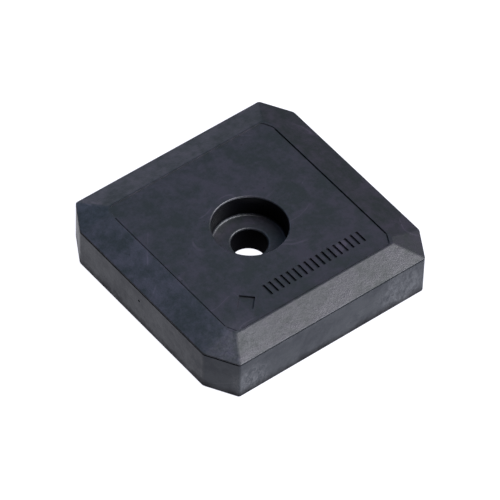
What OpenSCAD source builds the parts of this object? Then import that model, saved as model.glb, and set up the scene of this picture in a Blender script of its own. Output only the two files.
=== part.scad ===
// Screw-fixed on-metal transponder block: an eight-sided moulded housing with a bevelled
// lid, a counterbored screw column through its middle, and a foil antenna wrapped round
// a core inside. Millimetres. The origin is the middle of the flat back. +Z points out of
// the lid, and +X runs along the row of moulded bars.

/* [Housing] */
// Width along X
body_w = 50; // [46:0.5:56]
// Depth along Y
body_d = 49.2; // [46:0.2:56]
// Height from the back face to the rim of the lid
body_h = 10.35; // [10:0.05:11.5]
// Length of the corner cuts along X
corner_x = 3.6; // [3:0.1:5]
// Length of the corner cuts along Y
corner_y = 6.1; // [5:0.1:8]
// Thickness of the tray's side walls
wall_t = 2.2; // [2.2:0.1:2.6]
// Thickness of the tray's floor
floor_t = 1.2; // [1:0.1:1.5]

/* [Lid] */
// Height of the seam, where the tray ends and the lid begins
seam_z = 8.45; // [8.2:0.05:8.6]
// Height of the shadow groove above the seam
groove_h = 0.3; // [0.2:0.05:0.4]
// Depth of the shadow groove
groove_d = 0.3; // [0.2:0.05:0.4]
// Height of the lid's upright lip above the groove
lip_h = 0.15; // [0.1:0.05:0.3]
// Width of the bevels on the two X sides, seen from above
bevel_x = 6; // [5:0.1:7]
// Width of the bevels on the two Y sides, seen from above
bevel_y = 5.35; // [4.8:0.05:6.5]
// Corner cut of the bevels' top edge along X
top_corner_x = 0.87; // [0.6:0.01:1.2]
// Depth of the recessed panel
panel_depth = 0.18; // [0.1:0.02:0.3]
// Width of the rim left between the bevels and the panel
panel_rim = 0.25; // [0.15:0.05:0.6]
// Corner cut of the panel along X
panel_corner_x = 1.2; // [0.8:0.1:2]
// Corner cut of the panel along Y
panel_corner_y = 2.3; // [1.5:0.1:3]

/* [Screw column] */
// Diameter of the through hole, a free fit for an M6 screw
hole_dia = 6.8; // [6.4:0.1:7]
// Diameter of the counterbore for the screw's head
well_dia = 14.3; // [13.5:0.1:15]
// Height of the counterbore's floor above the back
well_z = 5.5; // [5:0.1:6]
// Thickness of the plastic round and under the counterbore
sleeve_t = 1.35; // [1.2:0.05:1.5]
// Diameter of the tray's boss under the counterbore
boss_dia = 11.2; // [11:0.1:12]

/* [Mark] */
// Depth of the mark below the panel
mark_depth = 0.4; // [0.2:0.05:0.6]
// Number of bars in the row
bar_count = 17; // [9:1:19]
// Distance from one bar to the next
bar_pitch = 1.35; // [1.2:0.05:1.4]
// Width of a bar
bar_w = 0.6; // [0.4:0.05:0.8]
// Length of a bar
bar_l = 2.8; // [2:0.1:3.2]
// Middle of the row of bars along X
bar_mid_x = 3.7; // [2:0.1:4]
// Middle of the mark along Y
mark_y = -14.2; // [-15:0.1:-13]
// Middle of the diamond along X
diamond_x = -12; // [-13:0.1:-11.5]
// Width of the diamond along X and along Y
diamond_size = 4.2; // [3:0.1:4.6]

/* [Inside] */
// Clearance between the core and the tray's walls
core_gap = 0.6; // [0.5:0.05:1]
// Clearance round the sleeve inside the core and the pad
sleeve_gap = 0.3; // [0.2:0.05:0.6]
// Thickness of the foam pad under the lid
pad_t = 1.25; // [1:0.05:1.6]
// Thickness of the adhesive tapes
tape_t = 0.1; // [0.08:0.01:0.12]
// Thickness of the carrier films
film_t = 0.1; // [0.08:0.01:0.12]
// Thickness of the foils
foil_t = 0.05; // [0.04:0.01:0.06]
// Width of the wrapped antenna along X
antenna_w = 36; // [30:0.5:37]
// Margin of bare film round the antenna foil
foil_margin = 1; // [0.5:0.1:2]
// Width of the matching slot in the radiator
slot_w = 1.5; // [1:0.1:2]
// Length of the loop inlay along X
loop_w = 14; // [12:0.5:16]
// Width of the loop inlay along Y
loop_d = 8; // [7:0.1:8.5]
// Width of the loop's track
track_w = 1.2; // [0.8:0.1:1.5]
// Side of the square chip
chip_w = 0.6; // [0.5:0.05:0.8]
// Thickness of the chip
chip_t = 0.15; // [0.12:0.01:0.2]
// Diameter of the contact bumps
bump_dia = 0.14; // [0.12:0.01:0.14]
// Height of the contact bumps
bump_h = 0.05; // [0.04:0.01:0.06]

/* [Hidden] */
$fn = 96;

// How far a cut runs past the face that it opens
past = 1;

// Lid heights
lip_z = seam_z + groove_h;
bevel_z = lip_z + lip_h;
panel_z = body_h - panel_depth;
mark_z = panel_z - mark_depth;

// Screw column
hole_r = hole_dia / 2;
well_r = well_dia / 2;
sleeve_r = well_r + sleeve_t;
sleeve_z = well_z - sleeve_t;
boss_r = boss_dia / 2;

// Tongue-and-groove joint in the tray's rim, as insets from the outer wall
joint_out = 0.75;
joint_in = 1.65;
joint_depth = 1.2;
tongue_gap = 0.2;
ring_joint_in = 4.1;
ring_joint_out = 5;

// Layers round the core, each the thickness outside the core's faces
tape_out = tape_t;
film_out = tape_t + film_t;
foil_out = tape_t + film_t + foil_t;
core_z = floor_t + foil_out;
core_top = seam_z - pad_t - foil_out;
core_inset = wall_t + core_gap;
core_hole_r = sleeve_r + sleeve_gap;
core_back = body_d / 2 - core_inset;
foil_hole_r = core_hole_r + foil_margin;

// Locating ribs on the tray's walls
rib_t = core_gap - 0.1;
rib_w = 1.2;
rib_at = 9;

// Heights of the loop inlay on the radiator
loop_tape_z = core_top + foil_out;
loop_film_z = loop_tape_z + tape_t;
loop_foil_z = loop_film_z + film_t;
bump_z = loop_foil_z + foil_t;
chip_z = bump_z + bump_h;
loop_y = (foil_hole_r + core_back) / 2 + 0.2;
chip_y = loop_y + loop_d / 2 - foil_margin - track_w / 2;
chip_gap = 0.3;
bump_x = chip_gap / 2 + bump_dia / 2;
bump_y = chip_w / 4;
underfill_dia = 1.5;
pocket_gap = 0.4;
pocket_h = 0.75;

// Shortening of the corner cuts when the outline is drawn in by t, which keeps its sides parallel
corner_k = corner_x + corner_y - norm([corner_x, corner_y]);
function inner_cut_x(t) = corner_x - t * corner_k / corner_y;
function inner_cut_y(t) = corner_y - t * corner_k / corner_x;

// A rectangle with its four corners cut off
function cut_rect(w, d, cx, cy) = [
    [w / 2 - cx, d / 2], [cx - w / 2, d / 2], [-w / 2, d / 2 - cy], [-w / 2, cy - d / 2],
    [cx - w / 2, -d / 2], [w / 2 - cx, -d / 2], [w / 2, cy - d / 2], [w / 2, d / 2 - cy]
];

// The housing's outline drawn in by t, as an upright block from z0 to z1
module outline_block(t, z0, z1) {
    translate([0, 0, z0])
        linear_extrude(z1 - z0)
            polygon(cut_rect(body_w - 2 * t, body_d - 2 * t, inner_cut_x(t), inner_cut_y(t)));
}

// The outline's ring between the insets t_out and t_in
module outline_ring(t_out, t_in, z0, z1) {
    difference() {
        outline_block(t_out, z0, z1);
        outline_block(t_in, z0 - past, z1 + past);
    }
}

module round_ring(r_in, r_out, z0, z1) {
    translate([0, 0, z0])
        difference() {
            cylinder(r = r_out, h = z1 - z0);
            translate([0, 0, -past])
                cylinder(r = r_in, h = z1 - z0 + 2 * past);
        }
}

module round_cut(r, z0, z1) {
    translate([0, 0, z0])
        cylinder(r = r, h = z1 - z0);
}

// A block centred on x = 0, from y0 to y1 and z0 to z1
module strip(w, y0, y1, z0, z1) {
    translate([-w / 2, y0, z0])
        cube([w, y1 - y0, z1 - z0]);
}

// The lower half of the housing, an open tray with the bottom of the screw column
module base_tray() {
    color("#34363d")
        difference() {
            union() {
                outline_ring(0, wall_t, 0, seam_z);
                outline_block(wall_t / 2, 0, floor_t);
                round_cut(boss_r, floor_t / 2, sleeve_z);
                locating_ribs();
            }
            round_cut(hole_r, -past, body_h);
            outline_ring(joint_out, joint_in, seam_z - joint_depth, seam_z + past);
            round_ring(ring_joint_in, ring_joint_out, sleeve_z - joint_depth, sleeve_z + past);
        }
}

// Upright ribs inside the tray's walls that keep the core in the middle
module locating_ribs() {
    top = core_top - 1;
    for (side = [-1, 1], at = [-rib_at, rib_at]) {
        translate([side * (body_w / 2 - wall_t - rib_t / 2), at, (floor_t / 2 + top) / 2])
            cube([rib_t, rib_w, top - floor_t / 2], center = true);
        translate([side * rib_at, -(body_d / 2 - wall_t - rib_t / 2), (floor_t / 2 + top) / 2])
            cube([rib_w, rib_t, top - floor_t / 2], center = true);
    }
}

// The bevelled lid, with its tongue, its counterbored sleeve and the recessed panel
module cover_shell() {
    color("#3a3f49")
        difference() {
            union() {
                outline_block(groove_d, seam_z, lip_z);
                outline_block(0, lip_z, bevel_z);
                bevelled_top();
                outline_ring(joint_out + tongue_gap, joint_in - tongue_gap, tongue_z(seam_z), seam_z);
                round_cut(sleeve_r, sleeve_z, seam_z + groove_h / 2);
                round_ring(ring_joint_in + tongue_gap, ring_joint_out - tongue_gap,
                           tongue_z(sleeve_z), sleeve_z);
            }
            panel_recess();
            round_cut(well_r, well_z, body_h + past);
            round_cut(hole_r, 0, body_h);
            mark();
        }
}

// The lower end of a tongue that hangs from the height z into its groove
function tongue_z(z) = z - joint_depth + tongue_gap;

// The eight bevels, rising from the lip to the rim of the panel
module bevelled_top() {
    top_corner_y = top_corner_x * corner_y / corner_x;
    hull() {
        outline_block(0, bevel_z - lip_h / 2, bevel_z);
        translate([0, 0, bevel_z])
            linear_extrude(body_h - bevel_z)
                polygon(cut_rect(body_w - 2 * bevel_x, body_d - 2 * bevel_y, top_corner_x, top_corner_y));
    }
}

module panel_recess() {
    panel_w = body_w - 2 * (bevel_x + panel_rim);
    panel_d = body_d - 2 * (bevel_y + panel_rim);
    translate([0, 0, panel_z])
        linear_extrude(panel_depth + past)
            polygon(cut_rect(panel_w, panel_d, panel_corner_x, panel_corner_y));
}

// The moulded mark: a plain diamond and a row of plain bars
module mark() {
    side = diamond_size / sqrt(2);
    translate([diamond_x, mark_y, mark_z])
        rotate([0, 0, 45])
            translate([-side / 2, -side / 2, 0])
                cube([side, side, mark_depth + past]);
    for (i = [0 : bar_count - 1])
        translate([bar_mid_x + (i - (bar_count - 1) / 2) * bar_pitch - bar_w / 2, mark_y - bar_l / 2, mark_z])
            cube([bar_w, bar_l, mark_depth + past]);
}

// The bead that fills the rest of the tray's rim groove round the lid's tongue
module seam_adhesive() {
    color("#8a8f96")
        difference() {
            outline_ring(joint_out, joint_in, seam_z - joint_depth, seam_z);
            outline_ring(joint_out + tongue_gap, joint_in - tongue_gap, tongue_z(seam_z), seam_z + past);
        }
}

// The bead that fills the rest of the boss's ring groove round the sleeve's tongue
module column_adhesive() {
    color("#8a8f96")
        difference() {
            round_ring(ring_joint_in, ring_joint_out, sleeve_z - joint_depth, sleeve_z);
            round_ring(ring_joint_in + tongue_gap, ring_joint_out - tongue_gap,
                       tongue_z(sleeve_z), sleeve_z + past);
        }
}

// The dielectric block that the antenna is wrapped round
module antenna_core() {
    color("#d9d6cc")
        difference() {
            outline_block(core_inset, core_z, core_top);
            round_cut(core_hole_r, core_z - past, core_top + past);
        }
}

// A layer wrapped round the core in a C, between the distances t0 and t1 from its faces.
// It is w wide, and its two open ends stop at y_end.
module wrap(w, y_end, t0, t1, hole_r) {
    back = core_back + t1;
    difference() {
        strip(w, y_end, back, core_z - t1, core_top + t1);
        strip(w + 2 * past, y_end - past, core_back + t0, core_z - t0, core_top + t0);
        round_cut(hole_r, 0, body_h);
    }
}

module core_tape() {
    color("#e8e4d0")
        wrap(antenna_w, -core_back, 0, tape_out, core_hole_r);
}

module antenna_film() {
    color("#cfd8dc")
        wrap(antenna_w, -core_back, tape_out, film_out, core_hole_r);
}

// The etched foil: the radiator with its matching slot, the shorting wall and the ground plane
module antenna_foil() {
    slot_y = foil_hole_r + 1;
    color("#b8bcc0")
        difference() {
            wrap(antenna_w - 2 * foil_margin, foil_margin - core_back, film_out, foil_out, foil_hole_r);
            strip(loop_w - 4 * track_w, slot_y, slot_y + slot_w, core_top, body_h);
        }
}

// One layer of the loop inlay, which lies on the radiator behind the screw column
module loop_layer(w, d, z0, z1) {
    strip(w, loop_y - d / 2, loop_y + d / 2, z0, z1);
}

module loop_tape() {
    color("#e8e4d0")
        loop_layer(loop_w, loop_d, loop_tape_z, loop_film_z);
}

module loop_film() {
    color("#cfd8dc")
        loop_layer(loop_w, loop_d, loop_film_z, loop_foil_z);
}

// The etched loop, open at the chip, which bridges its two ends
module loop_foil() {
    outer_w = loop_w - 2 * foil_margin;
    outer_d = loop_d - 2 * foil_margin;
    color("#b87a4b")
        difference() {
            loop_layer(outer_w, outer_d, loop_foil_z, bump_z);
            loop_layer(outer_w - 2 * track_w, outer_d - 2 * track_w, loop_film_z, body_h);
            strip(chip_gap, loop_y, core_back, loop_film_z, body_h);
        }
}

module chip_bumps() {
    color("#d4af37")
        bumps(bump_z, chip_z);
}

// Four upright discs under the chip, two on each end of the loop
module bumps(z0, z1) {
    for (sx = [-1, 1], sy = [-1, 1])
        translate([sx * bump_x, chip_y + sy * bump_y, z0])
            cylinder(d = bump_dia, h = z1 - z0, $fn = 24);
}

// The chip sits over the gap in the loop's far side
module rfid_chip() {
    color("#2b2b33")
        chip_block();
}

module chip_block() {
    translate([-chip_w / 2, chip_y - chip_w / 2, chip_z])
        cube([chip_w, chip_w, chip_t]);
}

// The resin that has crept under the chip and round its foot
module chip_underfill() {
    color("#5b4a2e")
        difference() {
            translate([0, chip_y, bump_z])
                cylinder(d = underfill_dia, h = chip_z - bump_z + chip_t / 2, $fn = 48);
            chip_block();
            bumps(bump_z - past, chip_z + chip_t / 2);
        }
}

// The foam pad between the radiator and the lid, with a pocket for the loop inlay
module cushion_pad() {
    pad_z = core_top + foil_out;
    color("#50545a")
        difference() {
            outline_block(core_inset, pad_z, seam_z);
            round_cut(core_hole_r, pad_z - past, seam_z + past);
            loop_layer(loop_w + 2 * pocket_gap, loop_d + 2 * pocket_gap, pad_z - past, pad_z + pocket_h);
        }
}

base_tray();
cover_shell();
seam_adhesive();
column_adhesive();
antenna_core();
core_tape();
antenna_film();
antenna_foil();
loop_tape();
loop_film();
loop_foil();
chip_bumps();
rfid_chip();
chip_underfill();
cushion_pad();
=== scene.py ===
"""The looks of a screw-fixed on-metal transponder block: an eight-sided black moulded housing, its foil
antenna inside, on a pale lit table."""

import math

import bmesh
import bpy
from mathutils import Matrix, Vector


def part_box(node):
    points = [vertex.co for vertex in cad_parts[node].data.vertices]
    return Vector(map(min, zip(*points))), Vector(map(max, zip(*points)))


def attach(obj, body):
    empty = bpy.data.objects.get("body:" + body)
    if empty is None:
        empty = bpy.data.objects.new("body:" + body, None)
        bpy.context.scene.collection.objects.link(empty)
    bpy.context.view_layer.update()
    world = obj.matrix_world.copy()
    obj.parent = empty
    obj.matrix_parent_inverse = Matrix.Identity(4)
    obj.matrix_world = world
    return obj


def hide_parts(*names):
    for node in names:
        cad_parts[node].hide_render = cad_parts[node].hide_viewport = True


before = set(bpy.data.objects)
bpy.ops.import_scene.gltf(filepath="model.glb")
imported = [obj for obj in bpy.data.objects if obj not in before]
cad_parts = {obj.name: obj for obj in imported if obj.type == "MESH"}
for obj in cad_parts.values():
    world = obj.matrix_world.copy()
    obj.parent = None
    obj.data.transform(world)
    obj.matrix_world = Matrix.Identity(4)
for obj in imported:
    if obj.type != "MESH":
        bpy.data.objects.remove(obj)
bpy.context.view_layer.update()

MM = 0.001
FINE = 1e-7

# The housing, read from the frame
HALF_W, HALF_D, SEAM_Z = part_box("base_tray")[1]
TOP_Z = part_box("cover_shell")[1].z

# The rest of the housing's sizes, as in the design
CORNER_X = 3.6 * MM
CORNER_Y = 6.1 * MM
GROOVE_H = 0.3 * MM
GROOVE_D = 0.3 * MM
LIP_H = 0.15 * MM
BEVEL_X = 6.0 * MM
BEVEL_Y = 5.35 * MM
TOP_CORNER_X = 0.87 * MM
PANEL_DEPTH = 0.18 * MM
PANEL_RIM = 0.25 * MM
QUIRK_W = 0.25 * MM
QUIRK_D = 0.15 * MM
PANEL_CORNER_X = 1.2 * MM
PANEL_CORNER_Y = 2.3 * MM
HOLE_R = 3.4 * MM
WELL_R = 7.15 * MM
WELL_Z = 5.5 * MM
SLEEVE_T = 1.35 * MM
BOSS_R = 5.6 * MM
WALL_T = 2.2 * MM
FLOOR_T = 1.2 * MM
MARK_DEPTH = 0.4 * MM
BAR_COUNT = 17
BAR_PITCH = 1.35 * MM
BAR_W = 0.6 * MM
BAR_L = 2.8 * MM
BAR_MID_X = 3.7 * MM
MARK_Y = -14.2 * MM
DIAMOND_X = -12 * MM
DIAMOND_SIZE = 4.2 * MM

# The groove at the foot of the panel's wall stops short of the back
QUIRK_END = HALF_D - BEVEL_Y - 3 * MM

# How far the edges of the housing are rounded
UPRIGHT_ROUND = 0.35 * MM
RIM_ROUND = 0.3 * MM
FOOT_ROUND = 0.22 * MM
RIDGE_ROUND = 0.3 * MM
LIP_ROUND = 0.11 * MM
LIP_UNDER_ROUND = 0.03 * MM
TOP_ROUND = 0.12 * MM
PANEL_ROUND = 0.12 * MM
PANEL_CORNER_ROUND = 0.5 * MM
MARK_ROUND = 0.12 * MM
BORE_ROUND = 0.2 * MM
WELL_RIM_ROUND = 0.34 * MM
WELL_FILLET = 0.5 * MM
WELL_MOUTH_ROUND = 0.4 * MM
WELL_DRAFT = 0.08 * MM

# The dimple in the tray's left wall
DENT_Y = 0.55 * MM
DENT_Z = 5.86 * MM
DENT_R = 0.28 * MM

# The tongue-and-groove joints, as insets from the outer wall and as radii
JOINT_OUT = 0.75 * MM
JOINT_IN = 1.65 * MM
RING_IN = 4.1 * MM
RING_OUT = 5.0 * MM
JOINT_DEPTH = 1.2 * MM
TONGUE_GAP = 0.2 * MM

# The ribs inside the tray that keep the core in the middle
RIB_T = 0.5 * MM
RIB_W = 1.2 * MM
RIB_AT = 9 * MM

# The antenna stack
CORE_EDGE = 0.3 * MM
SLEEVE_GAP = 0.3 * MM
FOIL_MARGIN = 1 * MM
SLOT_W = 1.5 * MM
TRACK_W = 1.2 * MM
CHIP_GAP = 0.3 * MM
POCKET_GAP = 0.4 * MM
POCKET_H = 0.75 * MM
FILM_T = 0.1 * MM
FOIL_T = 0.05 * MM
CUT_CORNER = 1 * MM
BUMP_R = 0.07 * MM
BUMP_BULGE = 0.012 * MM

LIP_Z = SEAM_Z + GROOVE_H
BEVEL_Z = LIP_Z + LIP_H
PANEL_Z = TOP_Z - PANEL_DEPTH
SLEEVE_R = WELL_R + SLEEVE_T
SLEEVE_Z = WELL_Z - SLEEVE_T
CORNER_L = math.hypot(CORNER_X, CORNER_Y)
CORE_LOW, CORE_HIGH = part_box("antenna_core")
CORE_HOLE_R = SLEEVE_R + SLEEVE_GAP
FOIL_HOLE_R = CORE_HOLE_R + FOIL_MARGIN
LOOP_LOW, LOOP_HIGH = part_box("loop_film")
POCKET_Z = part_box("cushion_pad")[0].z + POCKET_H
TURN_STEPS = 144


# ---------------------------------------------------------------- modelling by hand

def take(obj):
    """Makes obj the only selected and active object."""
    if bpy.context.object and bpy.context.object.mode != "OBJECT":
        bpy.ops.object.mode_set(mode="OBJECT")
    bpy.ops.object.select_all(action="DESELECT")
    obj.select_set(True)
    bpy.context.view_layer.objects.active = obj


def open_edit(obj, kind="FACE"):
    """Opens obj for editing with nothing selected."""
    take(obj)
    bpy.ops.object.mode_set(mode="EDIT")
    bpy.ops.mesh.select_mode(type=kind)
    bpy.ops.mesh.select_all(action="DESELECT")


def close_edit():
    bpy.ops.object.mode_set(mode="OBJECT")


def pick_faces(obj, test):
    """Selects the faces whose middle and normal pass the test."""
    mesh = bmesh.from_edit_mesh(obj.data)
    mesh.normal_update()
    for face in mesh.faces:
        face.select_set(test(face.calc_center_median(), face.normal))
    bmesh.update_edit_mesh(obj.data)


def pick_edges(obj, test):
    """Selects the edges whose two ends pass the test."""
    mesh = bmesh.from_edit_mesh(obj.data)
    for edge in mesh.edges:
        edge.select_set(test(edge.verts[0].co, edge.verts[1].co))
    bmesh.update_edit_mesh(obj.data)


def block(name, low, high):
    """A block between two corners, its place in its mesh."""
    bpy.ops.object.select_all(action="DESELECT")
    low, high = Vector(low), Vector(high)
    bpy.ops.mesh.primitive_cube_add(size=1, location=(low + high) / 2, scale=high - low)
    obj = bpy.context.object
    obj.name = obj.data.name = name
    bpy.ops.object.transform_apply(location=True, rotation=True, scale=True)
    return obj


def slice_off(obj, point, normal):
    """Cuts away what lies on the normal's side of a plane and closes the cut."""
    open_edit(obj)
    bpy.ops.mesh.select_all(action="SELECT")
    bpy.ops.mesh.bisect(plane_co=point, plane_no=normal, use_fill=True, clear_outer=True, threshold=FINE)
    close_edit()


def slice_corners(obj, half_w, half_d, cut_x, cut_y):
    """Cuts the four upright corners of a block off."""
    for sx in (-1, 1):
        for sy in (-1, 1):
            slice_off(obj, (sx * (half_w - cut_x), sy * half_d, 0), (sx * cut_y, sy * cut_x, 0))


def sink(distance, height):
    """Insets the selected face and pushes the new one along Z."""
    bpy.ops.mesh.inset(thickness=distance, depth=0)
    if height:
        bpy.ops.mesh.extrude_region_move(TRANSFORM_OT_translate={"value": (0, 0, height)})


def round_edges(obj, radius, segments, test):
    """Bevels the edges that pass the test."""
    open_edit(obj, "EDGE")
    pick_edges(obj, test)
    bpy.ops.mesh.bevel(offset=radius, offset_type="OFFSET", segments=segments, profile=0.5,
                       clamp_overlap=True)
    close_edit()


def line(name, points):
    """A chain of edges through the points, left open for editing with all of it selected."""
    bpy.ops.object.select_all(action="DESELECT")
    points = [Vector(p) for p in points]
    bpy.ops.mesh.primitive_plane_add(size=MM, location=points[0])
    obj = bpy.context.object
    obj.name = obj.data.name = name
    bpy.ops.object.transform_apply(location=True, rotation=True, scale=True)
    bpy.ops.object.mode_set(mode="EDIT")
    bpy.ops.mesh.select_mode(type="VERT")
    bpy.ops.mesh.select_all(action="SELECT")
    bpy.ops.mesh.merge(type="CENTER")
    for here, there in zip(points, points[1:]):
        bpy.ops.mesh.extrude_vertices_move(TRANSFORM_OT_translate={"value": there - here})
    bpy.ops.mesh.select_all(action="SELECT")
    return obj


def turned(name, profile, steps=TURN_STEPS):
    """A round solid spun from its half section, a list of (radius, height) with both ends on the axis."""
    obj = line(name, [(radius, 0, height) for radius, height in profile])
    bpy.ops.mesh.spin(steps=steps, angle=2 * math.pi, center=(0, 0, 0), axis=(0, 0, 1))
    bpy.ops.mesh.select_all(action="SELECT")
    bpy.ops.mesh.remove_doubles(threshold=FINE * 10)
    bpy.ops.mesh.normals_make_consistent(inside=False)
    close_edit()
    return obj


def plug(radius, low, high):
    """A plain round cutter on the axis."""
    return turned("plug", [(0, low), (radius, low), (radius, high), (0, high)])


def shift(obj, way):
    """Moves a piece by moving its mesh."""
    take(obj)
    obj.location = way
    bpy.ops.object.transform_apply(location=True, rotation=True, scale=True)


def join(obj, others):
    """Makes one mesh of obj and the others."""
    take(obj)
    for other in others:
        other.select_set(True)
    bpy.ops.object.join()


def arc(centre, radius, start, end, count=5):
    """Points on a circle round a (radius, height) centre, from one angle to another in degrees."""
    angles = [math.radians(start + (end - start) * i / count) for i in range(count + 1)]
    return [(centre[0] + radius * math.cos(a), centre[1] + radius * math.sin(a)) for a in angles]


def combine(obj, other, operation):
    """Adds other to obj or takes it away, with an applied boolean."""
    take(obj)
    step = obj.modifiers.new(operation.lower(), "BOOLEAN")
    step.operation = operation
    step.solver = "EXACT"
    step.object = other
    bpy.ops.object.modifier_apply(modifier=step.name)
    bpy.data.objects.remove(other)
    # Corners that the cut left on top of each other become one
    bpy.ops.object.mode_set(mode="EDIT")
    bpy.ops.mesh.select_all(action="SELECT")
    bpy.ops.mesh.remove_doubles(threshold=0.001 * MM)
    close_edit()


def smooth(obj, angle=40):
    """Smooth shading up to an angle, with the large flat faces kept flat."""
    take(obj)
    bpy.ops.object.shade_smooth_by_angle(angle=math.radians(angle))
    step = obj.modifiers.new("weighted", "WEIGHTED_NORMAL")
    step.keep_sharp = True
    step.weight = 100
    bpy.ops.object.modifier_apply(modifier=step.name)


def inset_of(point):
    """How far a point lies inside the housing's outline, seen from above."""
    x, y = abs(point.x), abs(point.y)
    corner = (CORNER_Y * (HALF_W - x) + CORNER_X * (HALF_D - y) - CORNER_X * CORNER_Y) / CORNER_L
    return min(HALF_W - x, HALF_D - y, corner)


def near(value, goal):
    return abs(value - goal) < 0.01 * MM


# ---------------------------------------------------------------- the tray

def make_tray():
    """The deep lower half: upright walls with a grooved rim, and the lower part of the screw column."""
    tray = block("tray", (-HALF_W, -HALF_D, 0), (HALF_W, HALF_D, SEAM_Z))
    slice_corners(tray, HALF_W, HALF_D, CORNER_X, CORNER_Y)

    open_edit(tray)
    pick_faces(tray, lambda c, n: n.z > 0.9)
    sink(JOINT_OUT, 0)
    sink(JOINT_IN - JOINT_OUT, 0)
    sink(WALL_T - JOINT_IN, FLOOR_T - SEAM_Z)
    pick_faces(tray, lambda c, n: n.z > 0.9 and JOINT_OUT < inset_of(c) < JOINT_IN)
    bpy.ops.mesh.extrude_region_move(TRANSFORM_OT_translate={"value": (0, 0, -JOINT_DEPTH)})
    close_edit()

    def upright(a, b):
        return max(inset_of(a), inset_of(b)) < 0.02 * MM and abs(a.z - b.z) > MM

    def loop_at(height):
        return lambda a, b: (near(a.z, height) and near(b.z, height)
                             and max(inset_of(a), inset_of(b)) < 0.4 * MM)

    round_edges(tray, UPRIGHT_ROUND, 4, upright)
    round_edges(tray, RIM_ROUND, 4, loop_at(SEAM_Z))
    round_edges(tray, FOOT_ROUND, 3, loop_at(0))

    combine(tray, boss(), "UNION")
    combine(tray, ribs(), "UNION")
    combine(tray, bore_cutter(), "DIFFERENCE")
    combine(tray, dimple(), "DIFFERENCE")
    return tray


def dimple():
    """A ball that cuts the shallow dimple in the left wall, as a burst gas bubble leaves it."""
    ball = turned("dimple", arc((0, 0), DENT_R, -90, 90, 8), steps=16)
    shift(ball, (-HALF_W - DENT_R / 3, DENT_Y, DENT_Z))
    return ball


def ribs():
    """Six low ribs inside the tray's walls, their tops chamfered to lead the core in."""
    low, high = FLOOR_T / 2, CORE_HIGH.z - MM
    wall_x, wall_y = HALF_W - WALL_T, HALF_D - WALL_T
    found = []
    for at in (-RIB_AT, RIB_AT):
        for side in (-1, 1):
            inner, outer = side * (wall_x - RIB_T), side * (wall_x + RIB_T / 2)
            rib = block("rib", (min(inner, outer), at - RIB_W / 2, low),
                        (max(inner, outer), at + RIB_W / 2, high))
            slice_off(rib, (inner, at, high - RIB_T), (-side, 0, 1))
            found.append(rib)
        rib = block("rib", (at - RIB_W / 2, -wall_y - RIB_T / 2, low),
                    (at + RIB_W / 2, -wall_y + RIB_T, high))
        slice_off(rib, (at, -wall_y + RIB_T, high - RIB_T), (0, 1, 1))
        found.append(rib)
    join(found[0], found[1:])
    return found[0]


def boss():
    """The lower part of the screw column, with the ring groove in its top."""
    return turned("boss", [
        (0, FLOOR_T / 2), (BOSS_R, FLOOR_T / 2), (BOSS_R, SLEEVE_Z),
        (RING_OUT, SLEEVE_Z), (RING_OUT, SLEEVE_Z - JOINT_DEPTH),
        (RING_IN, SLEEVE_Z - JOINT_DEPTH), (RING_IN, SLEEVE_Z), (0, SLEEVE_Z)])


def bore_cutter():
    """The lower part of the screw hole, with a softened edge at the back face."""
    edge = BORE_ROUND
    # The arc's centre is a little low, so that it crosses the back face instead of grazing it
    return turned("bore_cutter", [
        (0, SLEEVE_Z + MM), (HOLE_R, SLEEVE_Z + MM),
        *arc((HOLE_R + edge, 0.95 * edge), edge, 180, 270), (HOLE_R + edge, -MM), (0, -MM)])


# ---------------------------------------------------------------- the lid

def make_lid():
    """The bevelled lid: recessed panel, mark, counterbored well, sleeve and tongues."""
    lid = block("lid", (-HALF_W, -HALF_D, LIP_Z), (HALF_W, HALF_D, TOP_Z))
    slice_corners(lid, HALF_W, HALF_D, CORNER_X, CORNER_Y)
    rise = TOP_Z - BEVEL_Z
    for s in (-1, 1):
        slice_off(lid, (s * HALF_W, 0, BEVEL_Z), (s * rise, 0, BEVEL_X))
        slice_off(lid, (0, s * HALF_D, BEVEL_Z), (0, s * rise, BEVEL_Y))
    # The corner facets run from the lip to the short corner edges of the top
    facet_run = (CORNER_Y * (BEVEL_X + TOP_CORNER_X - CORNER_X) + CORNER_X * BEVEL_Y) / CORNER_L
    for sx in (-1, 1):
        for sy in (-1, 1):
            side = Vector((sx * CORNER_Y, sy * CORNER_X, 0)) / CORNER_L
            slice_off(lid, (sx * (HALF_W - CORNER_X), sy * HALF_D, BEVEL_Z),
                      side * rise + Vector((0, 0, facet_run)))

    # Its underside: the neck of the shadow groove, then the tongue
    open_edit(lid)
    pick_faces(lid, lambda c, n: n.z < -0.9)
    sink(GROOVE_D, -GROOVE_H)
    sink(JOINT_OUT + TONGUE_GAP - GROOVE_D, 0)
    sink(JOINT_IN - JOINT_OUT - 2 * TONGUE_GAP, 0)
    pick_faces(lid, lambda c, n: n.z < -0.9 and JOINT_OUT < inset_of(c) < JOINT_IN)
    bpy.ops.mesh.extrude_region_move(TRANSFORM_OT_translate={"value": (0, 0, TONGUE_GAP - JOINT_DEPTH)})
    close_edit()

    round_lid(lid)
    combine(lid, sleeve(), "UNION")
    combine(lid, panel_cutter(), "DIFFERENCE")
    finish_panel(lid)
    combine(lid, mark_cutter(), "DIFFERENCE")
    combine(lid, well_cutter(), "DIFFERENCE")
    return lid


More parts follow.
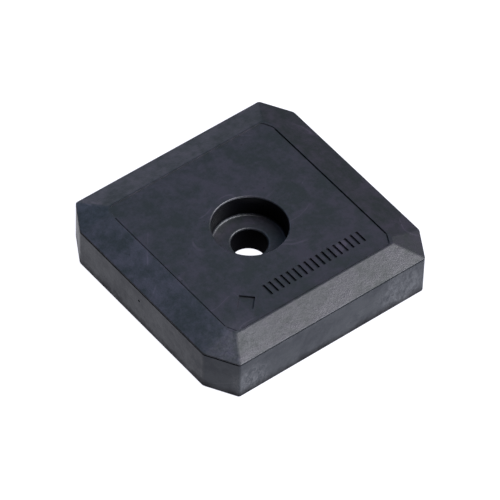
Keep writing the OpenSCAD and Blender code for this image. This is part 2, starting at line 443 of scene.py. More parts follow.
def finish_panel(lid):
    """Rounds the panel's upper edge and runs a fine groove round the foot of its wall, but for the back."""
    def upper_edge(a, b):
        return (near(a.z, TOP_Z) and near(b.z, TOP_Z) and (a - b).length > 0.05 * MM
                and in_panel_edge(a) and in_panel_edge(b))

    round_edges(lid, PANEL_ROUND, 4, upper_edge)
    open_edit(lid)
    pick_faces(lid, lambda c, n: n.z > 0.9 and near(c.z, PANEL_Z))
    sink(QUIRK_W, 0)
    pick_faces(lid, lambda c, n: n.z > 0.9 and near(c.z, PANEL_Z) and in_panel_edge(c) and c.y < QUIRK_END)
    bpy.ops.mesh.extrude_region_move(TRANSFORM_OT_translate={"value": (0, 0, -QUIRK_D)})
    close_edit()


def round_lid(lid):
    """Rounds the lid's outer edges: the ridges first, then the loops round the lip and the top."""
    def ridge(a, b):
        return min(a.z, b.z) > LIP_Z - FINE and abs(a.z - b.z) > 0.05 * MM

    def loop_at(height):
        return lambda a, b: (near(a.z, height) and near(b.z, height)
                             and max(inset_of(a), inset_of(b)) < BEVEL_X + 0.1 * MM)

    def lip_loop(height):
        return lambda a, b: (near(a.z, height) and near(b.z, height)
                             and max(inset_of(a), inset_of(b)) < 0.2 * MM)

    round_edges(lid, RIDGE_ROUND, 4, ridge)
    round_edges(lid, LIP_ROUND, 3, lip_loop(BEVEL_Z))
    round_edges(lid, LIP_UNDER_ROUND, 2, lip_loop(LIP_Z))
    round_edges(lid, TOP_ROUND, 3, loop_at(TOP_Z))


def sleeve():
    """The sleeve under the well, with the ring tongue that dips into the boss."""
    tongue_z = SLEEVE_Z - JOINT_DEPTH + TONGUE_GAP
    return turned("sleeve", [
        (0, SEAM_Z + GROOVE_H / 2), (SLEEVE_R, SEAM_Z + GROOVE_H / 2), (SLEEVE_R, SLEEVE_Z),
        (RING_OUT - TONGUE_GAP, SLEEVE_Z), (RING_OUT - TONGUE_GAP, tongue_z),
        (RING_IN + TONGUE_GAP, tongue_z), (RING_IN + TONGUE_GAP, SLEEVE_Z), (0, SLEEVE_Z)])


def panel_cutter():
    """The eight-sided space of the recessed panel, its corners softly rounded."""
    half_w = HALF_W - BEVEL_X - PANEL_RIM
    half_d = HALF_D - BEVEL_Y - PANEL_RIM
    cutter = block("panel_cutter", (-half_w, -half_d, PANEL_Z), (half_w, half_d, TOP_Z + MM))
    slice_corners(cutter, half_w, half_d, PANEL_CORNER_X, PANEL_CORNER_Y)
    round_edges(cutter, PANEL_CORNER_ROUND, 4, lambda a, b: abs(a.z - b.z) > 0.5 * MM)
    return cutter


def in_panel_edge(point):
    """True on the wall of the recessed panel."""
    half_w = HALF_W - BEVEL_X - PANEL_RIM
    half_d = HALF_D - BEVEL_Y - PANEL_RIM
    x, y = abs(point.x), abs(point.y)
    long_side = math.hypot(PANEL_CORNER_X, PANEL_CORNER_Y)
    corner = (PANEL_CORNER_Y * (half_w - x) + PANEL_CORNER_X * (half_d - y)
              - PANEL_CORNER_X * PANEL_CORNER_Y) / long_side
    return -FINE * 10 < min(half_w - x, half_d - y, corner) < 0.15 * MM


def mark_cutter():
    """The sunk mark: a plain diamond and a row of plain bars."""
    low_z, high_z = PANEL_Z - MARK_DEPTH, TOP_Z + MM
    half = DIAMOND_SIZE / 2
    cutter = block("mark_cutter", (DIAMOND_X - half, MARK_Y - half, low_z),
                   (DIAMOND_X + half, MARK_Y + half, high_z))
    for sx in (-1, 1):
        for sy in (-1, 1):
            slice_off(cutter, (DIAMOND_X + sx * half, MARK_Y, 0), (sx, sy, 0))
    bars = []
    for i in range(BAR_COUNT):
        x = BAR_MID_X + (i - (BAR_COUNT - 1) / 2) * BAR_PITCH
        bars.append(block("bar", (x - BAR_W / 2, MARK_Y - BAR_L / 2, low_z),
                          (x + BAR_W / 2, MARK_Y + BAR_L / 2, high_z)))
    join(cutter, bars)
    round_edges(cutter, MARK_ROUND, 2, lambda a, b: abs(a.z - b.z) > MM / 2)
    return cutter


def well_cutter():
    """The space of the well and the hole: softened rim, drafted wall, filleted floor and softened hole."""
    rim, fillet, mouth = WELL_RIM_ROUND, WELL_FILLET, WELL_MOUTH_ROUND
    floor_r = WELL_R - WELL_DRAFT
    return turned("well_cutter", [
        (0, TOP_Z + MM), (WELL_R + rim, TOP_Z + MM),
        *arc((WELL_R + rim, PANEL_Z - rim), rim, 90, 180),
        *arc((floor_r - fillet, WELL_Z + fillet), fillet, 0, -90),
        *arc((HOLE_R + mouth, WELL_Z - mouth), mouth, 90, 180),
        (HOLE_R, SLEEVE_Z - MM), (0, SLEEVE_Z - MM)])


# ---------------------------------------------------------------- the antenna stack inside

def inner_cut(inset):
    """The corner cuts of the outline drawn in by an inset, which keeps its sides parallel."""
    lost = inset * (CORNER_X + CORNER_Y - CORNER_L)
    return CORNER_X - lost / CORNER_Y, CORNER_Y - lost / CORNER_X


def outline_block(name, low, high):
    """An eight-sided block inside the housing, centred on the axis."""
    piece = block(name, low, high)
    slice_corners(piece, high.x, high.y, *inner_cut(HALF_W - high.x))
    return piece


def make_core():
    """The dielectric block, its edges rounded so that the wrapped film doesn't crack."""
    core = outline_block("core", CORE_LOW, CORE_HIGH)
    round_edges(core, CORE_EDGE, 4, lambda a, b: True)
    combine(core, plug(CORE_HOLE_R, CORE_LOW.z - MM, CORE_HIGH.z + MM), "DIFFERENCE")
    return core


def wrapped(name, node, thickness):
    """A thin layer wrapped round the core in a C, its bends following the core's rounded edges."""
    low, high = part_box(node)
    bend = CORE_EDGE + high.z - thickness - CORE_HIGH.z
    back = high.y - thickness - bend
    path = [(low.y, high.z - thickness), *arc((back, high.z - thickness - bend), bend, 90, 0),
            *arc((back, low.z + thickness + bend), bend, 0, -90), (low.y, low.z + thickness)]
    layer = line(name, [(low.x, y, z) for y, z in path])
    bpy.ops.mesh.extrude_region_move(TRANSFORM_OT_translate={"value": (high.x - low.x, 0, 0)})
    bpy.ops.mesh.select_all(action="SELECT")
    bpy.ops.mesh.normals_make_consistent(inside=False)
    close_edit()
    step = layer.modifiers.new("thickness", "SOLIDIFY")
    step.thickness = thickness
    step.offset = 1
    step.use_even_offset = True
    bpy.ops.object.modifier_apply(modifier=step.name)
    return layer


def make_core_tape():
    tape = wrapped("core_adhesive", "core_tape", FILM_T)
    combine(tape, plug(CORE_HOLE_R, 0, TOP_Z), "DIFFERENCE")
    return tape


def make_film():
    film = wrapped("carrier", "antenna_film", FILM_T)
    combine(film, plug(CORE_HOLE_R, 0, TOP_Z), "DIFFERENCE")
    return film


def make_foil():
    """The etched foil: radiator with its matching slot, shorting wall and ground plane."""
    foil = wrapped("radiator", "antenna_foil", FOIL_T)
    combine(foil, plug(FOIL_HOLE_R, 0, TOP_Z), "DIFFERENCE")
    half_w = (LOOP_HIGH.x - LOOP_LOW.x) / 2 - 2 * TRACK_W
    slot_y = FOIL_HOLE_R + MM
    slot = block("slot", (-half_w, slot_y, CORE_HIGH.z), (half_w, slot_y + SLOT_W, TOP_Z))
    round_edges(slot, 0.4 * MM, 4, lambda a, b: abs(a.z - b.z) > MM)
    combine(foil, slot, "DIFFERENCE")
    return foil


def die_cut(name, node, radius):
    """A thin flat layer with round corners, as a die cuts it."""
    layer = block(name, *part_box(node))
    low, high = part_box(node)
    round_edges(layer, radius, 6, lambda a, b: abs(a.z - b.z) > 0.5 * (high.z - low.z))
    return layer


def make_loop_tape():
    return die_cut("loop_adhesive", "loop_tape", CUT_CORNER)


def make_loop_film():
    return die_cut("loop_carrier", "loop_film", CUT_CORNER)


def make_loop():
    """The etched coupling loop, open under the chip."""
    low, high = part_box("loop_foil")
    loop = die_cut("coupling_loop", "loop_foil", CUT_CORNER)
    run = Vector((TRACK_W, TRACK_W, -MM))
    inside = block("inside", low + run, high - run)
    round_edges(inside, 0.5 * MM, 6, lambda a, b: abs(a.z - b.z) > MM)
    combine(loop, inside, "DIFFERENCE")
    middle = (low.y + high.y) / 2
    gap = block("gap", (-CHIP_GAP / 2, middle, low.z - MM), (CHIP_GAP / 2, high.y + MM, high.z + MM))
    combine(loop, gap, "DIFFERENCE")
    return loop


def make_bumps():
    """Four barrel-shaped contact bumps, two on each end of the loop."""
    low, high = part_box("chip_bumps")
    chip_low, chip_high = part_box("rfid_chip")
    middle_y = (chip_low.y + chip_high.y) / 2
    rise = high.z - low.z
    side = [(BUMP_R - BUMP_BULGE * (2 * i / 4 - 1) ** 2, low.z + rise * i / 4) for i in range(5)]
    found = []
    for sx in (-1, 1):
        for sy in (-1, 1):
            bump = turned("bumps", [(0, low.z), *side, (0, high.z)], steps=24)
            shift(bump, (sx * (high.x - BUMP_R), middle_y + sy * (high.y - middle_y - BUMP_R), 0))
            found.append(bump)
    join(found[0], found[1:])
    return found[0]


def make_chip():
    """The diced chip, its edges slightly chipped away by the saw."""
    chip = block("chip", *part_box("rfid_chip"))
    round_edges(chip, 0.012 * MM, 2, lambda a, b: True)
    return chip


def make_underfill():
    """Resin under the chip, drawn up round its foot in a hollow fillet."""
    low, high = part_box("chip_underfill")
    chip_low, chip_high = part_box("rfid_chip")
    half_chip = (chip_high.x - chip_low.x) / 2
    middle_y = (chip_low.y + chip_high.y) / 2
    foot, collar = high.x, half_chip * 1.5
    steps = 8
    fillet = [(collar + (foot - collar) * (1 - i / steps) ** 2, low.z + (high.z - low.z) * i / steps)
              for i in range(steps + 1)]
    resin = turned("underfill", [(0, low.z), *fillet, (0, high.z)], steps=64)
    shift(resin, (0, middle_y, 0))
    combine(resin, block("chip_space", chip_low, (chip_high.x, chip_high.y, chip_high.z + MM)), "DIFFERENCE")
    bump_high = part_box("chip_bumps")[1]
    room = [(0, low.z - MM), (BUMP_R, low.z - MM), (BUMP_R, high.z), (0, high.z)]
    for sx in (-1, 1):
        for sy in (-1, 1):
            space = turned("bump_space", room, steps=24)
            at_y = middle_y + sy * (bump_high.y - middle_y - BUMP_R)
            shift(space, (sx * (bump_high.x - BUMP_R), at_y, 0))
            combine(resin, space, "DIFFERENCE")
    return resin


def make_pad():
    """The die-cut foam pad, pressed flat above and below, with swollen cut sides and a pocket beneath."""
    low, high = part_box("cushion_pad")
    pad = outline_block("foam_pad", low, high)
    combine(pad, plug(CORE_HOLE_R, low.z - MM, high.z + MM), "DIFFERENCE")
    round_edges(pad, 0.45 * MM, 4, lambda a, b: near(a.z, b.z))
    room = Vector((POCKET_GAP, POCKET_GAP, 0))
    top = Vector((LOOP_HIGH.x, LOOP_HIGH.y, POCKET_Z))
    pocket = block("pocket", LOOP_LOW - room - Vector((0, 0, MM)), top + room)
    combine(pad, pocket, "DIFFERENCE")
    return pad


# ---------------------------------------------------------------- finishes

def colour(code):
    """Linear colour from an sRGB hex value."""
    parts = [int(code[i:i + 2], 16) / 255 for i in (1, 3, 5)]
    return tuple(p / 12.92 if p <= 0.04045 else ((p + 0.055) / 1.055) ** 2.4 for p in parts) + (1,)


def add(material, kind, sockets, **settings):
    """Adds a shader node with its settings, and its socket values or links."""
    new = material.node_tree.nodes.new("ShaderNode" + kind)
    for name, value in settings.items():
        setattr(new, name, value)
    for socket, value in sockets.items():
        if isinstance(value, bpy.types.NodeSocket):
            material.node_tree.links.new(value, new.inputs[socket])
        else:
            new.inputs[socket].default_value = value
    return new


def finish(name, **uniform):
    """A new material, its shader with the values that are the same all over, and its Object coordinates."""
    material = bpy.data.materials.new(name)
    material.use_nodes = True
    shader = material.node_tree.nodes["Principled BSDF"]
    for socket, value in uniform.items():
        shader.inputs[socket.replace("_", " ")].default_value = value
    place = add(material, "TexCoord", {}).outputs["Object"]
    return material, shader, place


def connect(material, shader, base, dull, bump):
    """Links a base colour, a roughness and a bump to the shader."""
    material.node_tree.links.new(base, shader.inputs["Base Color"])
    material.node_tree.links.new(dull.outputs[0], shader.inputs["Roughness"])
    material.node_tree.links.new(bump.outputs["Normal"], shader.inputs["Normal"])


def per_mm(size):
    """The pattern scale that gives features of a size in millimetres."""
    return 1 / (size * MM)


def moulded_abs(name, deep, bloom, gloss, relief, rubs=(), shaded_dents=(), foot=0):
    """Black ABS, injection moulded against spark-eroded steel: near-black with a dull satin sheen, a fine
    even grain, cloudy flow marks in the sheen and small dark pits. The rubs, as (place, reach, strength), are
    paler. The dents, as (place, size), are dark: painted shade in their hollows. Below the foot height the
    walls are darker and duller: painted contact shade."""
    material, shader, place = finish(name, IOR=1.54, Specular_IOR_Level=gloss)
    flow = add(material, "TexNoise", {"Vector": place, "Scale": per_mm(9), "Detail": 3, "Distortion": 1.4})
    cloud = add(material, "TexNoise", {"Vector": place, "Scale": per_mm(1.6), "Detail": 4, "Roughness": 0.75})
    # The real grain is about 0.05 mm, too fine to show; it is drawn at 0.3 mm
    grain = add(material, "TexNoise", {"Vector": place, "Scale": per_mm(0.3), "Detail": 1})

    # Flow lines: thin pale curves along one level of a slow pattern, as the melt front leaves them
    front = add(material, "TexNoise", {"Vector": place, "Scale": per_mm(13), "Detail": 1, "Distortion": 0.8})
    on_line = add(material, "Math", {0: front.outputs["Fac"], 1: 0.48, 2: 0.008}, operation="COMPARE")
    where = add(material, "MapRange", {"Value": flow.outputs["Fac"], "From Min": 0.5, "From Max": 0.62})
    line_tone = add(material, "Math", {0: on_line.outputs[0], 1: where.outputs["Result"]},
                    operation="MULTIPLY")

    # Pits: a sparse scatter of small dark dents, and the larger dents, painted dark as shade in their hollows
    cells = add(material, "TexVoronoi", {"Vector": place, "Scale": per_mm(2.4)})
    pits = add(material, "MapRange", {"Value": cells.outputs["Distance"], "From Min": 0.04, "From Max": 0.1,
                                      "To Min": 0.7, "To Max": 0})
    for spot, size in shaded_dents:
        away = add(material, "VectorMath", {0: place, 1: spot}, operation="DISTANCE")
        dent_shade = add(material, "MapRange", {"Value": away.outputs["Value"], "From Min": size * 0.6,
                                          "From Max": size, "To Min": 1, "To Max": 0})
        pits = add(material, "Math", {0: pits.outputs[0], 1: dent_shade.outputs[0]}, operation="MAXIMUM")

    clouds = add(material, "Math", {0: cloud.outputs["Fac"], 1: flow.outputs["Fac"]}, operation="ADD")
    tone = add(material, "MapRange", {"Value": clouds.outputs[0], "From Min": 0.82, "From Max": 1.18})
    pale = add(material, "Math", {0: line_tone.outputs[0], 1: 0.8, 2: tone.outputs["Result"]},
               operation="MULTIPLY_ADD")
    mixed = add(material, "Mix", {0: pale.outputs[0], 6: colour(deep), 7: colour(bloom)}, data_type="RGBA",
                clamp_factor=False)
    dark = add(material, "Mix", {0: pits.outputs[0], 6: mixed.outputs[2], 7: colour("#050506")},
               data_type="RGBA")
    dull = add(material, "MapRange", {"Value": clouds.outputs[0], "From Min": 0.75, "From Max": 1.25,
                                      "To Min": 0.48, "To Max": 0.32})
    base, rough = dark.outputs[2], dull.outputs["Result"]
    for spot, reach, strength in rubs:
        base, rough = rubbed(material, place, spot, reach, strength, base, rough)
    # Painted contact shade: darker and duller towards the foot of the walls
    if foot:
        base, rough = painted_foot_shade(material, place, foot, clouds, base, rough)
    link = material.node_tree.links.new
    link(base, shader.inputs["Base Color"])
    link(rough, shader.inputs["Roughness"])

    height = add(material, "Math", {0: cloud.outputs["Fac"], 1: 5, 2: grain.outputs["Fac"]},
                 operation="MULTIPLY_ADD")
    sunk = add(material, "Math", {0: pits.outputs[0], 1: -2, 2: height.outputs[0]}, operation="MULTIPLY_ADD")
    bump = add(material, "Bump", {"Height": sunk.outputs[0], "Strength": 1, "Distance": relief * MM})
    link(bump.outputs["Normal"], shader.inputs["Normal"])
    return material


def painted_foot_shade(material, place, foot, clouds, base, rough):
    """Painted contact shade: darker and duller towards the foot of a wall, with an uneven edge."""
    height = add(material, "SeparateXYZ", {"Vector": place})
    uneven = add(material, "Math", {0: clouds.outputs[0], 1: foot * 0.8, 2: height.outputs["Z"]},
                 operation="MULTIPLY_ADD")
    low = add(material, "MapRange", {"Value": uneven.outputs[0], "From Min": foot * 0.8,
                                     "From Max": foot * 1.8, "To Min": 1, "To Max": 0})
    # The colour of the painted contact shade
    foot_shade = add(material, "Mix", {0: low.outputs["Result"], 6: base, 7: colour("#08080a")}, data_type="RGBA")
    duller = add(material, "Math", {0: low.outputs["Result"], 1: 0.25, 2: rough}, operation="MULTIPLY_ADD")
    return foot_shade.outputs[2], duller.outputs[0]


def rubbed(material, place, spot, reach, strength, base, rough):
    """A pale rub round a spot, strongest in its middle and broken up into fine specks and short strokes."""
    near_spot = add(material, "VectorMath", {0: place, 1: spot}, operation="DISTANCE")
    fade = add(material, "MapRange", {"Value": near_spot.outputs["Value"], "From Min": reach * 0.35,
                                      "From Max": reach, "To Min": 1, "To Max": 0})
    strokes_at = add(material, "Mapping", {"Vector": place, "Rotation": (0, 0.7, 0), "Scale": (1, 1, 0.6)})
    strokes = add(material, "TexNoise", {"Vector": strokes_at.outputs["Vector"], "Scale": per_mm(0.9),
                                         "Detail": 5, "Roughness": 0.75, "Distortion": 1})
    broken = add(material, "MapRange", {"Value": strokes.outputs["Fac"], "From Min": 0.4, "From Max": 0.66})
    amount = add(material, "Math", {0: fade.outputs["Result"], 1: broken.outputs["Result"]},
                 operation="MULTIPLY")
    some = add(material, "Math", {0: amount.outputs[0], 1: strength}, operation="MULTIPLY")
    paler = add(material, "Mix", {0: some.outputs[0], 6: base, 7: colour("#77777a")}, data_type="RGBA")
    duller = add(material, "Math", {0: some.outputs[0], 1: 0.2, 2: rough}, operation="MULTIPLY_ADD")
    return paler.outputs[2], duller.outputs[0]


def lid_abs():
    """The lid's plastic, rubbed a little along the front edge where a thumb rests."""
    rubs = (((-19 * MM, -HALF_D + 2 * MM, LIP_Z + MM), 9 * MM, 0.12),)
    return moulded_abs("moulded_black_abs_lid", "#0c1113", "#26242b", 0.35, 0.0078, rubs)


def tray_abs():
    """The same plastic as the lid's, drawn in paler tones than the lid's as painted light on the walls, and
    rubbed pale where the block is gripped and slid on a bench.
    """
    front = -HALF_D
    rubs = (((-18.5 * MM, front, 3 * MM), 4.8 * MM, 0.5), ((16 * MM, front, 3.6 * MM), 7 * MM, 0.42),
            ((HALF_W, 13 * MM, 2.5 * MM), 5 * MM, 0.4), ((-6 * MM, HALF_D, 3 * MM), 5 * MM, 0.4))
    # The dimple is painted dark: painted shade in its hollow
    shaded_dents = (((-HALF_W, DENT_Y, DENT_Z), DENT_R),)
    # Paler tones than the lid's: painted light on the walls
    return moulded_abs("moulded_black_abs_tray", "#2a2c31", "#323438", 0.11, 0.008, rubs, shaded_dents, foot=2 * MM)


def shaded_abs_copy(name, gloss, dullest):
    """The same plastic down the well and the bore, as a copy with painted shade: darker and less glossy than
    the outside, with faint rings round the axis from the pin's turning."""
    material, shader, place = finish(name, IOR=1.54, Specular_IOR_Level=gloss)
    height = add(material, "SeparateXYZ", {"Vector": place})
    rings = add(material, "TexNoise", {"W": height.outputs["Z"], "Scale": per_mm(0.25), "Detail": 2},
                noise_dimensions="1D")
    mixed = add(material, "Mix", {0: rings.outputs["Fac"], 6: colour("#060608"), 7: colour("#0b0b0e")},
                data_type="RGBA")
    dull = add(material, "MapRange", {"Value": rings.outputs["Fac"], "To Min": dullest - 0.1,
                                      "To Max": dullest})
    bump = add(material, "Bump", {"Height": rings.outputs["Fac"], "Strength": 0.5, "Distance": 0.003 * MM})
    connect(material, shader, mixed.outputs[2], dull, bump)
    return material


def cured_epoxy():
    """Filled grey epoxy, squeezed into its groove and cured: satin, slightly wavy, with filler specks."""
    material, shader, place = finish("cured_grey_epoxy", IOR=1.55)
    filler = add(material, "TexNoise", {"Vector": place, "Scale": per_mm(0.15), "Detail": 2})
    mixed = add(material, "Mix", {0: filler.outputs["Fac"], 6: colour("#7c8085"), 7: colour("#9a9ea3")},
                data_type="RGBA")
    waves = add(material, "TexNoise", {"Vector": place, "Scale": per_mm(1.5), "Detail": 1})
    dull = add(material, "MapRange", {"Value": waves.outputs["Fac"], "To Min": 0.3, "To Max": 0.45})
    bump = add(material, "Bump", {"Height": waves.outputs["Fac"], "Strength": 1, "Distance": 0.02 * MM})
    connect(material, shader, mixed.outputs[2], dull, bump)
    return material


def natural_polypropylene():
    """Unpigmented polypropylene, injection moulded: milky, waxy and a little see-through at its edges, with
    faint flow clouds."""
    material, shader, place = finish("moulded_natural_polypropylene", IOR=1.49, Subsurface_Weight=0.3,
                                     Subsurface_Scale=0.8 * MM)
    flow = add(material, "TexNoise", {"Vector": place, "Scale": per_mm(6), "Detail": 3, "Distortion": 1})
    mixed = add(material, "Mix", {0: flow.outputs["Fac"], 6: colour("#cfccc0"), 7: colour("#e0ddd3")},
                data_type="RGBA")
    grain = add(material, "TexNoise", {"Vector": place, "Scale": per_mm(0.2), "Detail": 2})
    dull = add(material, "MapRange", {"Value": grain.outputs["Fac"], "To Min": 0.38, "To Max": 0.5})
    bump = add(material, "Bump", {"Height": grain.outputs["Fac"], "Strength": 1, "Distance": 0.004 * MM})
    connect(material, shader, mixed.outputs[2], dull, bump)
    return material


def acrylic_adhesive():
    """Acrylic transfer adhesive, coated and die-cut: straw-white and soft-looking, with air specks."""
    material, shader, place = finish("coated_acrylic_adhesive", IOR=1.47)
    air = add(material, "TexVoronoi", {"Vector": place, "Scale": per_mm(0.9)})
    specks = add(material, "MapRange", {"Value": air.outputs["Distance"], "From Min": 0.08, "From Max": 0.2})
    mixed = add(material, "Mix", {0: specks.outputs["Result"], 6: colour("#f0eee4"), 7: colour("#dcd6bf")},
                data_type="RGBA")
    dull = add(material, "MapRange", {"Value": specks.outputs["Result"], "To Min": 0.55, "To Max": 0.42})
    bump = add(material, "Bump", {"Height": specks.outputs["Result"], "Strength": 0.6, "Distance": 0.01 * MM})
    connect(material, shader, mixed.outputs[2], dull, bump)
    return material


def drawn_pet_film():
    """PET film, drawn and slit: smooth and glossy with a faint cool haze and very slight waves."""
    material, shader, place = finish("drawn_pet_film", IOR=1.58, Transmission_Weight=0.35)
    haze = add(material, "TexNoise", {"Vector": place, "Scale": per_mm(4), "Detail": 2})
    mixed = add(material, "Mix", {0: haze.outputs["Fac"], 6: colour("#c6d0d6"), 7: colour("#dbe2e6")},
                data_type="RGBA")
    dull = add(material, "MapRange", {"Value": haze.outputs["Fac"], "To Min": 0.08, "To Max": 0.16})
    bump = add(material, "Bump", {"Height": haze.outputs["Fac"], "Strength": 0.5, "Distance": 0.02 * MM})
    connect(material, shader, mixed.outputs[2], dull, bump)
    return material


def rolled_metal(name, low_tone, high_tone, roughness):
    """Metal foil, rolled and etched: fine lines along the rolling direction over a slightly clouded sheen.
    The real lines are about 0.01 mm apart; they are drawn at 0.12 mm."""
    material, shader, place = finish(name, Metallic=1)
    along = add(material, "Mapping", {"Vector": place, "Scale": (1, 0.03, 1)})
    lines = add(material, "TexNoise", {"Vector": along.outputs["Vector"], "Scale": per_mm(0.12), "Detail": 2})
    cloud = add(material, "TexNoise", {"Vector": place, "Scale": per_mm(3), "Detail": 3})
    mixed = add(material, "Mix", {0: cloud.outputs["Fac"], 6: colour(low_tone), 7: colour(high_tone)},
                data_type="RGBA")
    dull = add(material, "MapRange", {"Value": lines.outputs["Fac"], "To Min": roughness - 0.08,
                                      "To Max": roughness + 0.08})
    bump = add(material, "Bump", {"Height": lines.outputs["Fac"], "Strength": 1, "Distance": 0.002 * MM})
    connect(material, shader, mixed.outputs[2], dull, bump)
    return material


def aluminium_foil():
    return rolled_metal("etched_aluminium_foil", "#c3c5c8", "#dcdee0", 0.28)


def copper_foil():
    return rolled_metal("etched_copper_foil", "#b97a5c", "#d99a78", 0.32)


def plated_gold():
    """Gold, plated on the bumps: warm, satin, with the fine nodules of the bath."""
    material, shader, place = finish("plated_gold", Metallic=1)
    nodules = add(material, "TexVoronoi", {"Vector": place, "Scale": per_mm(0.02)})
    mixed = add(material, "Mix", {0: nodules.outputs["Distance"], 6: colour("#e2bd62"), 7: colour("#b98f3c")},
                data_type="RGBA")
    dull = add(material, "MapRange", {"Value": nodules.outputs["Distance"], "To Min": 0.3, "To Max": 0.45})
    bump = add(material, "Bump", {"Height": nodules.outputs["Distance"], "Strength": 0.6,
                                  "Distance": 0.002 * MM})
    connect(material, shader, mixed.outputs[2], dull, bump)
    return material


def ground_silicon():
    """Silicon, ground thin and diced: blue-grey and mirror-like through fine curved grinding lines."""
    material, shader, place = finish("ground_silicon", IOR=3.9)
    rings = add(material, "TexWave", {"Vector": place, "Scale": per_mm(0.16), "Distortion": 0.6, "Detail": 2},
                wave_type="RINGS")
    mixed = add(material, "Mix", {0: rings.outputs["Fac"], 6: colour("#1d1f27"), 7: colour("#2a2d38")},
                data_type="RGBA")
    dull = add(material, "MapRange", {"Value": rings.outputs["Fac"], "To Min": 0.2, "To Max": 0.32})
    bump = add(material, "Bump", {"Height": rings.outputs["Fac"], "Strength": 0.5, "Distance": 0.001 * MM})
    connect(material, shader, mixed.outputs[2], dull, bump)
    return material


def underfill_resin():
    """Epoxy underfill, flowed and cured: dark amber and glossy, with swirls of deeper tone."""
    material, shader, place = finish("cured_amber_underfill", IOR=1.55, Coat_Weight=0.5, Coat_Roughness=0.08)
    swirl = add(material, "TexNoise", {"Vector": place, "Scale": per_mm(0.4), "Detail": 3, "Distortion": 1})
    mixed = add(material, "Mix", {0: swirl.outputs["Fac"], 6: colour("#3f2a12"), 7: colour("#6b4d24")},
                data_type="RGBA")
    dull = add(material, "MapRange", {"Value": swirl.outputs["Fac"], "To Min": 0.15, "To Max": 0.25})
    bump = add(material, "Bump", {"Height": swirl.outputs["Fac"], "Strength": 0.4, "Distance": 0.004 * MM})
    connect(material, shader, mixed.outputs[2], dull, bump)
    return material


def closed_cell_foam():
    """Polyethylene foam, cross-linked and die-cut: charcoal, dull, with closed cells of about 0.35 mm."""
    material, shader, place = finish("closed_cell_polyethylene_foam", IOR=1.5, Sheen_Weight=0.2)
    cells = add(material, "TexVoronoi", {"Vector": place, "Scale": per_mm(0.35)}, feature="SMOOTH_F1")
    mixed = add(material, "Mix", {0: cells.outputs["Distance"], 6: colour("#3a3d42"), 7: colour("#5a5e64")},
                data_type="RGBA")
    dull = add(material, "MapRange", {"Value": cells.outputs["Distance"], "To Min": 0.7, "To Max": 0.85})
    bump = add(material, "Bump", {"Height": cells.outputs["Distance"], "Strength": 1, "Distance": 0.06 * MM})
    connect(material, shader, mixed.outputs[2], dull, bump)
    return material


# ---------------------------------------------------------------- the studio

def table_top():
    """White acrylic sheet lit from beneath, as on a product table: even and shadowless."""
    material, shader, place = finish("lit_white_acrylic_sheet", Specular_IOR_Level=0, Roughness=0.6,
                                     Emission_Color=colour("#f6f6ff"), Emission_Strength=1.09)
    tone = add(material, "TexNoise", {"Vector": place, "Scale": per_mm(400)})
    mixed = add(material, "Mix", {0: tone.outputs["Fac"], 6: colour("#4c4c4c"), 7: colour("#525252")},
                data_type="RGBA")
    material.node_tree.links.new(mixed.outputs[2], shader.inputs["Base Color"])
    return material


def table():
    """A round table that sweeps up at its far edge, so that no view looks past it."""
    level, far, sweep = -0.02 * MM, 2.2, 0.06
    top = turned("table", [(0, level), (far, level), *arc((far, level + sweep), sweep, -90, 0, 8)], steps=64)
    bpy.ops.object.shade_smooth()
    top.data.materials.append(table_top())


def studio_lights():
    """Large soft lights, as (name, azimuth, elevation, width, height, watts for red, green and blue)."""
    lights = (("front_strip", 0, 12, 1.6, 0.4, (10.2, 10.8, 12)),
              ("front_card", 45, 50, 0.48, 0.48, (9.2, 9.9, 11)),
              ("side_box", 72, 50, 0.48, 0.48, (12, 12, 12.4)),
              ("top_box", 45, 70, 0.48, 0.48, (8.7, 8.6, 9)),
              ("back_box", 160, 12, 0.48, 0.4, (0.8, 0.85, 1)),
              ("back_top", 180, 70, 0.48, 0.48, (0.75, 0.9, 1.4)),
              ("back_side", 165, 45, 0.48, 0.48, (0.45, 0.83, 1.2)))
    distance = 1.2
    for name, azimuth, elevation, width, height, power in lights:
        data = bpy.data.lights.new(name, "AREA")
        data.shape = "ELLIPSE"
        data.size = width
        data.size_y = height
        data.energy = max(power)
        data.color = [p / max(power) for p in power]
        away = direction(azimuth, elevation)
        light = bpy.data.objects.new(name, data)
        light.location = away * distance
        light.rotation_euler = away.to_track_quat("Z", "Y").to_euler()
        bpy.context.scene.collection.objects.link(light)
    world = bpy.data.worlds.new("studio")
    world.use_nodes = True
    world.node_tree.nodes["Background"].inputs["Color"].default_value = (0, 0, 0, 1)
    bpy.context.scene.world = world
    bpy.context.scene.view_settings.view_transform = "Standard"


def direction(azimuth, elevation):
    """The way from the block to an azimuth, 0 in front and 90 on the right, and an elevation, in degrees."""
    azimuth, elevation = math.radians(azimuth), math.radians(elevation)
    return Vector((math.sin(azimuth) * math.cos(elevation), -math.cos(azimuth) * math.cos(elevation),
                   math.sin(elevation)))


def camera():
    """The camera, far off with a long lens, looking down at the front left corner."""
    distance, roll = 934.4 * MM, math.radians(2.057)
    aim = Vector((2.122, 2.286, 0)) * MM
    back = direction(-39.605, 48.166)
    right = (-back).cross(Vector((0, 0, 1))).normalized()
    up = right.cross(-back)
    right, up = right * math.cos(roll) + up * math.sin(roll), up * math.cos(roll) - right * math.sin(roll)
    data = bpy.data.cameras.new("camera")
    data.lens = 364.2
    data.sensor_width = 36
    data.clip_start = 0.01
    data.clip_end = 20
    cam = bpy.data.objects.new("camera", data)
    turn = Matrix((right, up, back)).transposed().to_4x4()
    cam.matrix_world = Matrix.Translation(aim + back * distance) @ turn
    bpy.context.scene.collection.objects.link(cam)
    bpy.context.scene.camera = cam


# ---------------------------------------------------------------- putting it together

def in_hole(point, normal):
    """True on the wall of the screw hole."""
    return math.hypot(point.x, point.y) < HOLE_R + 0.05 * MM and abs(normal.z) < 0.2 and point.z < PANEL_Z


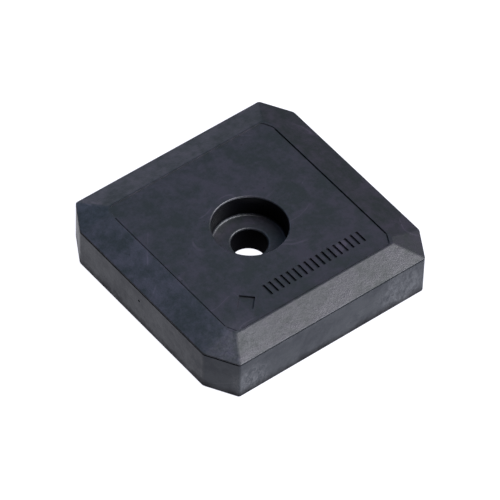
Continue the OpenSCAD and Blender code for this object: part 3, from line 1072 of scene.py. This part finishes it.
def in_well(point, normal):
    """True on the wall of the counterbored well."""
    from_axis = math.hypot(point.x, point.y)
    return WELL_R - MM < from_axis < WELL_R + 0.05 * MM and abs(normal.z) < 0.2 and point.z < PANEL_Z


def in_dimple(point, normal):
    """True inside the small dimple in the left wall."""
    return point.x > -HALF_W + FINE and (point - Vector((-HALF_W, DENT_Y, DENT_Z))).length < 1.3 * DENT_R


def line_with(piece, material, wanted):
    """Gives some faces a finish of their own."""
    open_edit(piece)
    pick_faces(piece, wanted)
    piece.data.materials.append(material)
    piece.active_material_index = len(piece.data.materials) - 1
    bpy.ops.object.material_slot_assign()
    close_edit()


camera()
table()
studio_lights()

adhesive = acrylic_adhesive()
pet_film = drawn_pet_film()
PIECES = (
    (make_tray, tray_abs(), "base_tray", "tray_plastic"),
    (make_lid, lid_abs(), "cover_shell", "lid_plastic"),
    (make_core, natural_polypropylene(), "antenna_core", "core_plastic"),
    (make_core_tape, adhesive, "core_tape", "tape"),
    (make_film, pet_film, "antenna_film", "carrier_film"),
    (make_foil, aluminium_foil(), "antenna_foil", "antenna_foil"),
    (make_loop_tape, adhesive, "loop_tape", "tape"),
    (make_loop_film, pet_film, "loop_film", "carrier_film"),
    (make_loop, copper_foil(), "loop_foil", "loop_foil"),
    (make_bumps, plated_gold(), "chip_bumps", "bump_metal"),
    (make_chip, ground_silicon(), "rfid_chip", "silicon"),
    (make_underfill, underfill_resin(), "chip_underfill", "underfill_resin"),
    (make_pad, closed_cell_foam(), "cushion_pad", "foam"),
)
# Two copies of the black plastic with painted shade: darker and less glossy, for the wall of the well and for
# the bore
well_shade_copy = shaded_abs_copy("black_abs_well_painted_shade", 0.06, 0.34)
bore_shade_copy = shaded_abs_copy("black_abs_bore_painted_shade", 0.005, 0.8)
for make, surface, node, slot in PIECES:
    piece = make()
    piece.data.materials.append(surface)
    if node == "base_tray":
        # The dimple takes the bore's copy too: painted shade in its hollow
        line_with(piece, bore_shade_copy, lambda c, n: in_hole(c, n) or in_dimple(c, n))
    if node == "cover_shell":
        line_with(piece, bore_shade_copy, in_hole)
        line_with(piece, well_shade_copy, in_well)
    smooth(piece)
    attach(piece, "root")
    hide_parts(node)

epoxy = cured_epoxy()
for node in ("seam_adhesive", "column_adhesive"):
    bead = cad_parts[node]
    bead.data.materials.clear()
    bead.data.materials.append(epoxy)
